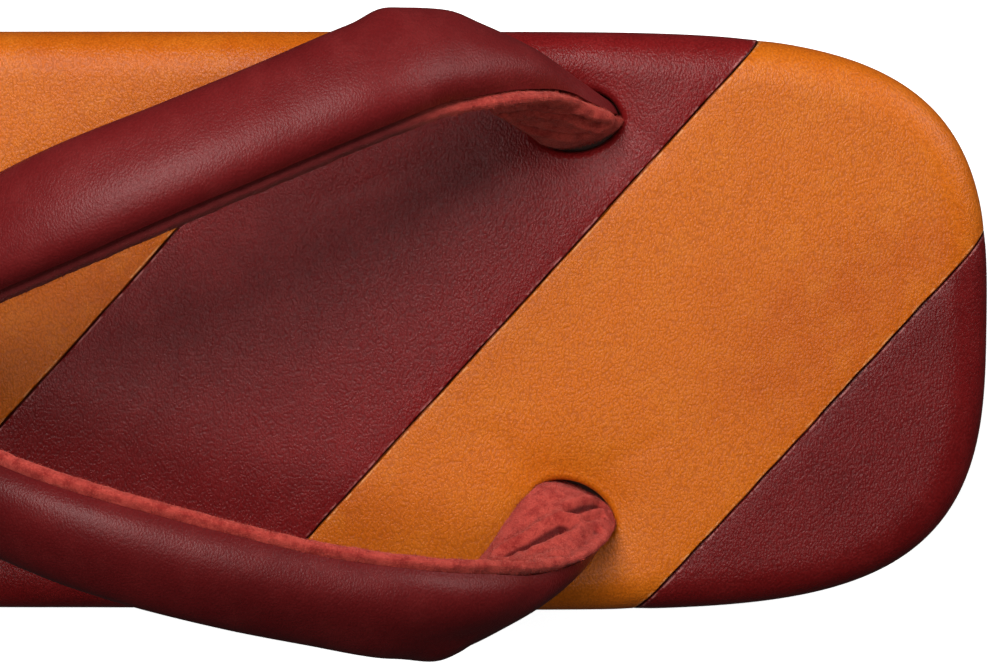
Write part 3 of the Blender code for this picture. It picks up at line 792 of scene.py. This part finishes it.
def seamed(made, shade, wear_and_painted_light):
    """Darkens the leather's very edge beside each seam, with a pale lip here and there that is partly
    scuffs and partly painted highlight on the leather's edge.
    """
    across = made.vector('DOT_PRODUCT', {0: made.place, 1: (square[0], square[1], 0)}, "Value")
    line = 0
    lip = 0
    for seam in SEAMS:
        away = made.node("ShaderNodeMath", {"operation": 'ABSOLUTE'}, {0: across - seam})
        line = line + (1 - made.step(away, 0.12 * MM, 0.34 * MM))
        lip = lip + made.step(away, 0.2 * MM, 0.34 * MM) * (1 - made.step(away, 0.4 * MM, 0.7 * MM))
    rough = made.noise(1.8 * MM, 3, 0.7)
    # Pale lip beside each seam: partly scuffs, partly painted highlight on the leather's rounded edge.
    tone = made.mix(made.tone, wear_and_painted_light, lip * made.step(rough, 0.46, 0.6) * 0.85)
    tone = made.mix(tone, shade, line * (0.6 + rough * 0.4))
    made.set("Base Color", tone)
    return made


# Each leather's darker dye, its dye all over and its paler dye where it has gone pale with wear. The darker
# also gives the painted shade in the grain's valleys, the paler the painted highlight on its crests.
ORANGE = ((0.50, 0.092, 0.003), (0.60, 0.132, 0.005), (0.65, 0.172, 0.012))
BURGUNDY = ((0.100, 0.0030, 0.0036), (0.135, 0.0050, 0.0055), (0.170, 0.010, 0.010))
# A lighter copy of the burgundy for the waist strip: painted light that makes up for the straps' shadow
# over the waist.
WAIST_BURGUNDY_LIT = ((0.135, 0.0040, 0.0048), (0.185, 0.0072, 0.0080), (0.230, 0.014, 0.014))
ORANGE_EDGE = (0.10, 0.018, 0.005)
BURGUNDY_EDGE = (0.02, 0.003, 0.004)
orange = seamed(leather("orange_calf", ORANGE, 0.31, 1.1), ORANGE_EDGE, (0.75, 0.30, 0.10))
burgundy = seamed(leather("burgundy_calf", BURGUNDY, 0.3, 1.1), BURGUNDY_EDGE, (0.36, 0.12, 0.11))
waist = seamed(leather("waist_calf_painted_light", WAIST_BURGUNDY_LIT, 0.3, 1.1), BURGUNDY_EDGE, (0.42, 0.14, 0.13))
bounds_across = [LENGTH] + list(SEAMS) + [-LENGTH]
STRIPS = (("strip_heel_corner", burgundy), ("strip_heel", orange), ("strip_waist", waist),
          ("strip_ball", orange), ("strip_toe", burgundy))
for k, (node, calf) in enumerate(STRIPS):
    strip = cut_strip(node + "_leather", bounds_across[k], bounds_across[k + 1])
    strip.data.materials.append(calf.material)
    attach(strip, "root")
    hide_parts(node)
    "leather_orange" if k % 2 else "leather_burgundy"

# Pad under the leather
# A slab of firm dark foam board, cut to the footprint with rounded upper edges. It shows only where
# the leather turns down into the holes.
foam = Finish("pad_foam", 0.92)
crumb = foam.noise(0.9 * MM, 4, 0.7)
foam.set("Base Color", foam.mix((0.035, 0.014, 0.010), (0.06, 0.025, 0.018), crumb))
foam.set("Normal", foam.bump(crumb, 0.15 * MM, 0.6))
pad_faces = list(shell_faces)
for k in range(RIM_POINTS // 2):
    face = dict.fromkeys((k, k + 1, RIM_POINTS - k - 1, (RIM_POINTS - k) % RIM_POINTS))
    pad_faces.append(tuple(reversed(face)))
for top in throats:
    pad_faces.append(tuple(range(top, top + HOLE_POINTS)))
pad = piece("insole_pad", bed_shell(SKIN + GAP), pad_faces, 60)
pad.data.materials.append(foam.material)
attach(pad, "root")
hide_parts("insole")

# Strap lining
# A soft velvet pile lines the underside of both straps. It shows as a narrow fuzzy band beside the
# leather, and fans out in puckers where each strap turns over into its hole.
LINING_POINTS = 76
PILE_GAP = 0.12 * MM
PILE_BULGE = 0.35 * MM
STRAPS_APART = 0.06 * MM
# Stretch of the outer strap's pile that is pressed flat, tucked in and given painted shade, and how far it
# sinks.
TUCK_SHADE_BACK = 44 * MM
TUCK_SHADE_FRONT = 62 * MM
TUCK_SINK = 0.9 * MM
middle_low = np.array([tips[0], tips[1]])
middle_high = (inner["centre"][-24][:2] + outer["centre"][-24][:2]) / 2
split_way = middle_high - middle_low
split_way /= np.linalg.norm(split_way)
split_normal = Vector((split_way[1], -split_way[0], 0))


def loft(name, rows, strap=None):
    """A closed skin through one ring of points a station, a strap's cut where the two straps meet."""
    count = rows.shape[1]
    verts = rows.reshape(-1, 3)
    faces = []
    for s in range(rows.shape[0] - 1):
        faces += band(s * count, (s + 1) * count, count)
    faces.append(tuple(range(count)))
    faces.append(tuple(range(len(verts) - count, len(verts))))
    made = piece(name, verts, faces)
    if strap is None:
        return made
    work = bmesh.new()
    work.from_mesh(made.data)
    way = split_normal * float(strap["side"])
    cut(work, Vector((*middle_low, 0)) + way * STRAPS_APART, -way, clear=True)
    rim = [e for e in work.edges if e.is_boundary]
    if rim:
        bmesh.ops.triangle_fill(work, edges=rim, use_beauty=True)
    bmesh.ops.recalc_face_normals(work, faces=work.faces)
    work.to_mesh(made.data)
    work.free()
    return made


def joined(name, *parts):
    """Several meshes as one object."""
    work = bmesh.new()
    for part in parts:
        work.from_mesh(part.data)
        bpy.data.objects.remove(part)
    mesh = bpy.data.meshes.new(name)
    work.to_mesh(mesh)
    work.free()
    made = placed(name, mesh)
    smooth(made, 45)
    return made


def tuck_and_shade(points):
    """Where the outer strap's pile is pressed flat and tucked in, with painted shade on it, from 1 along
    the foot to 0 at its bend.
    """
    y = points[:, 1]
    return ease((TUCK_SHADE_BACK - y) / (16 * MM)) * (points[:, 0] < 0) * ease((y + TUCK_SHADE_FRONT) / (20 * MM))


def lining_rows(strap):
    """Rings of points round the lining, fuller at its edges outside the pressed-flat, shade-painted
    stretch.
    """
    turn = np.linspace(0, 2 * np.pi, LINING_POINTS, endpoint=False)
    half = LINING_HALF * strap["width"]
    deep = LINING_DEPTH * strap["thick"]
    a, b = under_face(strap, turn, half, deep / 2 - PILE_GAP / 2)
    wear_and_painted_light = tuck_and_shade(strap["centre"])[:, None]
    bulge = PILE_BULGE * np.cos(turn) ** 3 * (1 - 0.6 * strap["soft"][:, None]) * (1 - wear_and_painted_light)
    return set_out(strap, a * (1 - 0.035 * wear_and_painted_light) + bulge,
                   b - (deep / 2 + PILE_GAP / 2)[:, None] - TUCK_SINK * wear_and_painted_light)


# Puckers pressed into the pile beside each hole: points along each fold in mm, its depth and its
# width in mm.
PUCKERS = (
    (((37.2, 48.4, 42.2), (35.7, 52.8, 40.7), (34.2, 57.4, 36.2)), 2.9, 1.35),
    (((31.9, 58.8, 32.4), (30.9, 62.5, 28.7), (31.3, 64.8, 25.0)), 1.8, 0.95),
    (((32.6, 61.8, 33.4), (33.0, 64.2, 29.6)), 0.9, 0.6),
    (((37.4, 53.6, 49.6), (36.3, 58.7, 46.1), (34.4, 63.6, 34.5)), 0.6, 0.9),
    (((-37.7, 47.7, 32.1), (-38.9, 52.7, 38.6), (-38.0, 58.7, 37.8), (-36.0, 64.0, 32.2)), 1.8, 0.8),
    (((-35.9, 50.2, 29.7), (-34.6, 55.4, 30.5), (-34.1, 61.4, 30.1)), 0.8, 0.9),
)


def gap_to_line(points, start, end):
    """Distance of each point from one straight stretch."""
    along = np.clip((points - start) @ (end - start) / np.sum((end - start) ** 2), 0, 1)
    return np.linalg.norm(points - start - along[:, None] * (end - start), axis=1)


def pressed(points):
    """How deep the puckers and the pile's own unevenness sink each point of the lining."""
    sink = np.zeros(len(points))
    for path, depth, width in PUCKERS:
        path = np.array(path) * MM
        away = np.full(len(points), 1.0)
        for start, end in zip(path[:-1], path[1:]):
            away = np.minimum(away, gap_to_line(points, start, end))
        near = away / (width * MM)
        sink += depth * MM * (np.exp(-near ** 2) - 0.3 * np.exp(-((near - 2.1) / 0.9) ** 2))
    uneven = [noise.noise(Vector(spot) / (2.1 * MM)) + 0.6 * noise.noise(Vector(spot) / (0.9 * MM))
              for spot in points]
    return sink + 0.16 * MM * np.array(uneven)


lining = joined("strap_velvet", loft("inner_velvet", lining_rows(inner), inner),
                loft("outer_velvet", lining_rows(outer), outer))
work = bmesh.new()
work.from_mesh(lining.data)
close = [e for e in work.edges if 40 * MM < e.verts[0].co.y < 75 * MM and e.calc_length() > 0.3 * MM
         and len(e.link_faces) == 2 and all(len(f.verts) == 4 for f in e.link_faces)]
bmesh.ops.subdivide_edges(work, edges=close, cuts=1, use_grid_fill=True, smooth=0.0)
work.normal_update()
work.verts.index_update()
spots = np.array([tuple(v.co) for v in work.verts])
fold_shade_mark = work.verts.layers.float.new("fold")
painted_shade_mark = work.verts.layers.float.new("wear_and_painted_light")
wear_and_painted_light = tuck_and_shade(spots)
for vert, sink in zip(work.verts, pressed(spots)):
    vert.co -= vert.normal * float(sink)
    vert[fold_shade_mark] = float(sink) / MM
    vert[painted_shade_mark] = float(wear_and_painted_light[vert.index])
work.to_mesh(lining.data)
work.free()
smooth(lining, 60)
velvet = Finish("lining_velvet", 0.95)
pile = velvet.noise(0.3 * MM, 3, 0.8)
tuft = velvet.noise(2.2 * MM, 4, 0.65)
tone = velvet.mix((0.30, 0.025, 0.020), (0.48, 0.060, 0.044), velvet.step(tuft, 0.34, 0.62))
tone = velvet.mix(tone, (0.68, 0.125, 0.092), velvet.step(pile, 0.5, 0.72) * 0.6)
tone = velvet.mix(tone, (0.14, 0.010, 0.010), (1 - velvet.step(pile, 0.3, 0.46)) * 0.45)
# Painted shade in the puckers, darkest where the pile is pressed in deepest.
tone = velvet.mix(tone, (0.08, 0.005, 0.006), velvet.step(velvet.mark("fold"), 0.25, 1.0) * 0.9)
# Painted shade on the outer strap's velvet band along the foot, where it lies in the strap's shadow.
tone = velvet.mix(tone, (0.085, 0.008, 0.009), velvet.mark("wear_and_painted_light") * 0.93)
velvet.set("Base Color", tone)
velvet.set("Sheen Weight", 0.22)
velvet.set("Sheen Roughness", 0.4)
velvet.set("Sheen Tint", (0.9, 0.42, 0.34))
velvet.set("Specular IOR Level", 0.1)
velvet.set("Normal", velvet.bump(pile * 0.7 + tuft * 0.3, 0.4 * MM, 0.9))
lining.data.materials.append(velvet.material)


def pile_fibres(base, finish, density, length, seed):
    """Short tangled fibres standing on a piece, scattered by Geometry Nodes and turned to mesh."""
    group = bpy.data.node_groups.new("velvet_pile", "GeometryNodeTree")
    group.interface.new_socket("Geometry", in_out='INPUT', socket_type='NodeSocketGeometry')
    ask_density = group.interface.new_socket("Fibres per square metre", in_out='INPUT',
                                             socket_type='NodeSocketFloat')
    ask_length = group.interface.new_socket("Fibre length", in_out='INPUT', socket_type='NodeSocketFloat')
    ask_seed = group.interface.new_socket("Seed", in_out='INPUT', socket_type='NodeSocketInt')
    group.interface.new_socket("Geometry", in_out='OUTPUT', socket_type='NodeSocketGeometry')
    nodes, links = group.nodes, group.links
    given = nodes.new("NodeGroupInput")
    result = nodes.new("NodeGroupOutput")
    scatter = nodes.new("GeometryNodeDistributePointsOnFaces")
    links.new(given.outputs[0], scatter.inputs["Mesh"])
    links.new(given.outputs[1], scatter.inputs["Density"])
    links.new(given.outputs[3], scatter.inputs["Seed"])
    fibre = nodes.new("GeometryNodeMeshCone")
    fibre.fill_type = 'NONE'
    fibre.inputs["Vertices"].default_value = 3
    fibre.inputs["Radius Bottom"].default_value = 0.085
    fibre.inputs["Radius Top"].default_value = 0
    fibre.inputs["Depth"].default_value = 1
    place = nodes.new("GeometryNodeInstanceOnPoints")
    links.new(scatter.outputs["Points"], place.inputs["Points"])
    links.new(fibre.outputs["Mesh"], place.inputs["Instance"])
    lean = nodes.new("FunctionNodeRandomValue")
    lean.data_type = 'FLOAT_VECTOR'
    lean.inputs[0].default_value = (-0.85, -0.85, -3.1)
    lean.inputs[1].default_value = (0.85, 0.85, 3.1)
    links.new(given.outputs[3], lean.inputs["Seed"])
    turned = nodes.new("FunctionNodeRotateRotation")
    turned.rotation_space = 'LOCAL'
    links.new(scatter.outputs["Rotation"], turned.inputs[0])
    links.new(lean.outputs[0], turned.inputs[1])
    links.new(turned.outputs[0], place.inputs["Rotation"])
    size = nodes.new("FunctionNodeRandomValue")
    size.inputs[2].default_value = 0.55
    size.inputs[3].default_value = 1.0
    links.new(given.outputs[3], size.inputs["Seed"])
    scale = nodes.new("ShaderNodeMath")
    scale.operation = 'MULTIPLY'
    links.new(size.outputs[1], scale.inputs[0])
    links.new(given.outputs[2], scale.inputs[1])
    links.new(scale.outputs[0], place.inputs["Scale"])
    real = nodes.new("GeometryNodeRealizeInstances")
    links.new(place.outputs[0], real.inputs[0])
    dye = nodes.new("GeometryNodeSetMaterial")
    dye.inputs["Material"].default_value = finish
    links.new(real.outputs[0], dye.inputs[0])
    links.new(dye.outputs[0], result.inputs[0])
    made = base.copy()
    made.data = base.data.copy()
    bpy.context.scene.collection.objects.link(made)
    nap = made.modifiers.new("velvet_pile", 'NODES')
    nap.node_group = group
    nap[ask_density.identifier] = density
    nap[ask_length.identifier] = length
    nap[ask_seed.identifier] = seed
    bpy.context.view_layer.update()
    grown = bpy.data.meshes.new_from_object(made.evaluated_get(bpy.context.evaluated_depsgraph_get()))
    made.modifiers.remove(nap)
    bpy.data.objects.remove(made)
    return placed("strap_velvet_nap", grown)


nap_piece = pile_fibres(lining, velvet.material, 3.8e6, 0.6 * MM, 3)
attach(nap_piece, "root")
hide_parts("strap_lining")
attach(lining, "root")
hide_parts("strap_lining")

# Strap leather
# Burgundy calf drawn over a soft cord filling and turned under at both edges, so that each strap has
# a full rounded face. The two sides are sewn together over the toes.
ARCH_POINTS = 49


def leather_rows(strap):
    """Rings of points round a strap's leather shell: over its outer face and back inside it."""
    half = CROWN_HALF * strap["width"]
    high = CROWN_HEIGHT * strap["thick"]
    a, b = arch(strap, half, high, ARCH_POINTS)
    c, d = arch(strap, half - STRAP_WALL, high - STRAP_WALL, ARCH_POINTS)
    return set_out(strap, np.hstack([a, c[:, ::-1]]), np.hstack([b, d[:, ::-1]]))


straps = joined("strap_calf", loft("inner_calf", leather_rows(inner), inner),
                loft("outer_calf", leather_rows(outer), outer))
# Where the filling pushes the leather out at each strap's bend: a point in mm, how far and how wide.
FULL_CORNERS = (
    ((-55.1, 27.5, 57.7), 0.7, 3.6),
    ((-54.7, 39.6, 51.0), 0.4, 3.6),
    ((51.6, 36.8, 60.0), 0.8, 4.0),
)
# Soft dents drawn in the leather: points along each in mm, depth and width in mm.
DENTS = (
    (((-44.0, 33.0, 66.0), (-47.0, 41.0, 60.0), (-44.0, 50.0, 54.0)), 0.35, 2.4),
    (((44.0, 30.0, 68.0), (47.0, 40.0, 62.0), (42.0, 52.0, 56.0)), 0.4, 2.6),
    (((40.0, 24.0, 72.0), (46.0, 28.0, 66.0)), 0.3, 2.0),
)
spots = np.array([tuple(v.co) for v in straps.data.vertices])
bulge = np.array([0.14 * MM * noise.noise(Vector(spot) / (13 * MM)) for spot in spots])
for at, out_by, width in FULL_CORNERS:
    away = np.linalg.norm(spots - np.array(at) * MM, axis=1)
    bulge += out_by * MM * np.exp(-(away / (width * MM)) ** 2)
for path, depth, width in DENTS:
    path = np.array(path) * MM
    for start, end in zip(path[:-1], path[1:]):
        away = gap_to_line(spots, start, end)
        bulge -= 0.6 * depth * MM * np.exp(-(away / (width * MM)) ** 2)
ways = np.array([tuple(v.normal) for v in straps.data.vertices])
straps.data.vertices.foreach_set("co", (spots + ways * bulge[:, None]).ravel())
straps.data.update()
# The outer strap's tones are a lighter copy of the strap leather's: painted light for its face, which turns
# toward the lamps.
STRAP_TONES = ((0.082, 0.0034, 0.0043), (0.112, 0.0056, 0.0065), (0.150, 0.012, 0.012))
OUTER_TONES_LIT = ((0.110, 0.0052, 0.0062), (0.150, 0.0085, 0.0095), (0.195, 0.018, 0.018))
strap_calf = leather("strap_calf", STRAP_TONES, 0.4, 0.7, 0.4 * MM)
outer_calf = leather("outer_calf", OUTER_TONES_LIT, 0.4, 0.7, 0.4 * MM)
straps.data.materials.append(strap_calf.material)
straps.data.materials.append(outer_calf.material)
for face in straps.data.polygons:
    face.material_index = int((face.center - Vector((*middle_low, 0))).dot(split_normal) < 0)
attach(straps, "root")
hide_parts("strap_leather")

# Toe loop
# A leather-covered cord that stands in the front hole, spreads into a snug cap round the ends of
# both straps and holds them between the first two toes.
LOOP_WALL = 2 * MM
LOOP_LENGTH = 13.5 * MM
LOOP_FLARE = 5 * MM
POCKET_DEPTH = 5.5 * MM
HOLE_GAP = 0.4 * MM
LOOP_POINTS = 72
loop_up = np.array([0, loop_ahead[2], -loop_ahead[1]])
loop_apart = abs(inner["centre"][-1, 0] - outer["centre"][-1, 0])
loop_thick = inner["thick"][-1]
loop_half = loop_apart / 2 + LINING_HALF * inner["width"][-1] + HOLE_GAP + LOOP_WALL * 1.6
loop_low = LINING_DEPTH * loop_thick
loop_high = CROWN_HEIGHT * loop_thick + HOLE_GAP + LOOP_WALL
stem_floor = float(bed_top(stem_xy[0], stem_xy[1])) - POCKET_DEPTH
across_axis = np.array([1.0, 0, 0])
back_axis = np.array([0, 1.0, 0])
foot = np.array([*stem_xy, stem_floor])
neck = foot + (0, 0, POCKET_DEPTH + HOLLOW_DEPTH)
# Each ring's centre, its half width, its half depth and the way its depth runs
profile = [
    (foot, STEM_WIDTH / 2, STEM_DEPTH / 2, back_axis),
    (neck, STEM_WIDTH / 2, STEM_DEPTH / 2, back_axis),
    (loop_centre - loop_up * (loop_low + LOOP_FLARE), STEM_WIDTH * 0.54, STEM_DEPTH / 2, -loop_ahead),
    (loop_centre - loop_up * (loop_low + LOOP_FLARE * 0.4), loop_half * 0.94, LOOP_LENGTH / 2, -loop_ahead),
    (loop_centre - loop_up * loop_low * 0.5, loop_half, LOOP_LENGTH * 0.5, -loop_ahead),
    (loop_centre + loop_up * loop_high * 0.35, loop_half, LOOP_LENGTH * 0.5, -loop_ahead),
    (loop_centre + loop_up * loop_high * 0.8, loop_half * 0.82, LOOP_LENGTH * 0.49, -loop_ahead),
    (loop_centre + loop_up * loop_high, loop_half * 0.5, LOOP_LENGTH * 0.44, -loop_ahead),
]
turn = np.linspace(0, 2 * np.pi, LOOP_POINTS, endpoint=False)
c = squared(np.cos(turn), STEM_SQUARE)
s = squared(np.sin(turn), STEM_SQUARE)
rings = np.array([centre + np.outer(c * wide, across_axis) + np.outer(s * deep, way)
                  for centre, wide, deep, way in profile])


def eased_rows(rows, steps):
    """A Catmull-Rom curve through rows of points."""
    ahead = np.vstack([rows[:1], rows, rows[-1:]])
    out = []
    for k in range(1, len(ahead) - 2):
        p0, p1, p2, p3 = ahead[k - 1], ahead[k], ahead[k + 1], ahead[k + 2]
        for t in np.linspace(0, 1, steps, endpoint=False):
            out.append(0.5 * (2 * p1 + (p2 - p0) * t + (2 * p0 - 5 * p1 + 4 * p2 - p3) * t * t
                              + (3 * p1 - p0 - 3 * p2 + p3) * t ** 3))
    out.append(rows[-1])
    return np.array(out)


band_rows = eased_rows(rings, 7)
toe_cap = loft("toe_loop_calf", band_rows)
toe_cap.data.materials.append(strap_calf.material)
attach(toe_cap, "root")
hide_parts("toe_loop")

# Floor, light and camera
# A plain pale floor under soft studio light, seen from above with the toe out of the picture.
bpy.ops.mesh.primitive_plane_add(size=6)
floor = bpy.context.object
floor.name = "floor"
paper = Finish("pale_floor", 0.9)
paper.set("Base Color", (0.93, 0.93, 0.93))
paper.set("Emission Color", (1, 1, 1))
paper.set("Emission Strength", 0.8)
floor.data.materials.append(paper.material)
floor.visible_diffuse = False
floor.visible_glossy = False

scene = bpy.context.scene
scene.view_settings.view_transform = 'Standard'
sky = bpy.data.worlds.new("studio")
sky.use_nodes = True
sky.node_tree.nodes["Background"].inputs["Color"].default_value = (1, 1, 1, 1)
sky.node_tree.nodes["Background"].inputs["Strength"].default_value = 0.03
scene.world = sky


def panel(name, place, aim, size, power):
    """A soft light panel."""
    lamp = bpy.data.lights.new(name, 'AREA')
    lamp.shape = 'RECTANGLE'
    lamp.size, lamp.size_y = size
    lamp.energy = power
    made = placed(name, lamp)
    made.location = place
    made.rotation_euler = (Vector(place) - Vector(aim)).to_track_quat('Z', 'Y').to_euler()
    made.visible_camera = False


panel("key", (-0.56, -0.2, 0.9), (0, 0.04, 0.03), (0.5, 0.6), 11.0)
panel("overhead", (0.03, -0.1, 1.0), (0.03, -0.1, 0), (0.22, 0.4), 2.2)
panel("heel_side", (-0.5, 0.72, 0.2), (-0.02, 0.06, 0.04), (0.5, 0.35), 3.6)

CAMERA_AWAY = 0.6
PICTURES_A_METRE = 5.74
tilt = math.radians(6)
aim = Vector((1.0, 46.8, 27.0)) * MM
back = Vector((-math.sin(tilt), 0, math.cos(tilt)))
right = Vector((0, 1, 0))
lens = bpy.data.cameras.new("camera")
lens.sensor_width = 36
lens.lens = lens.sensor_width * PICTURES_A_METRE * CAMERA_AWAY
lens.clip_end = 20
camera = placed("camera", lens)
up = back.cross(right)
pose = Matrix((right, up, back)).transposed().to_4x4()
pose.translation = aim + back * CAMERA_AWAY
camera.matrix_world = pose
scene.camera = camera
